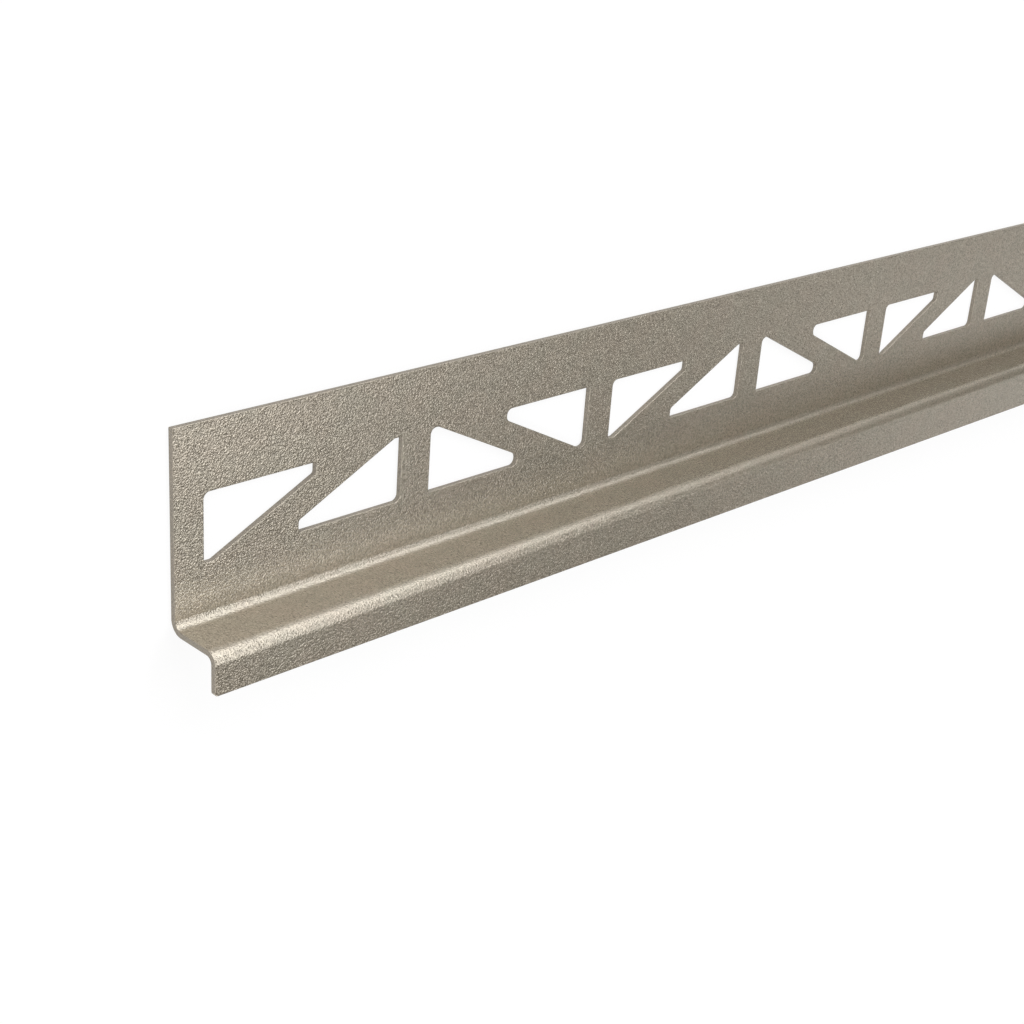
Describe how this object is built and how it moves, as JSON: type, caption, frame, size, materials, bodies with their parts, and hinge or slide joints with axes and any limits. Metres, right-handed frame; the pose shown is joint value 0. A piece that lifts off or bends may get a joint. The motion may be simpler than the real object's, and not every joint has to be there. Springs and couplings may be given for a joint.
{
  "type": "shower slope wedge profile",
  "caption": "Bent sheet trim with a punched three-cornered window band along its leg, a narrow web, and a lip that widens as a long wedge.",
  "frame": {"origin": "under the middle of the whole outline, on the floor that the back of the leg lies on", "axes": "+X along the profile from the thin end of the wedge to the thick end, +Y across the leg to its free edge, +Z out of the leg's front"},
  "size_m": [1, 0.0483, 0.01],
  "materials": {
    "textured_coat": "warm beige-grey textured powder coat, satin, with a fine leather-like grain"
  },
  "bodies": {
    "root": {"wedge_profile": "textured_coat"}
  },
  "joints": []
}
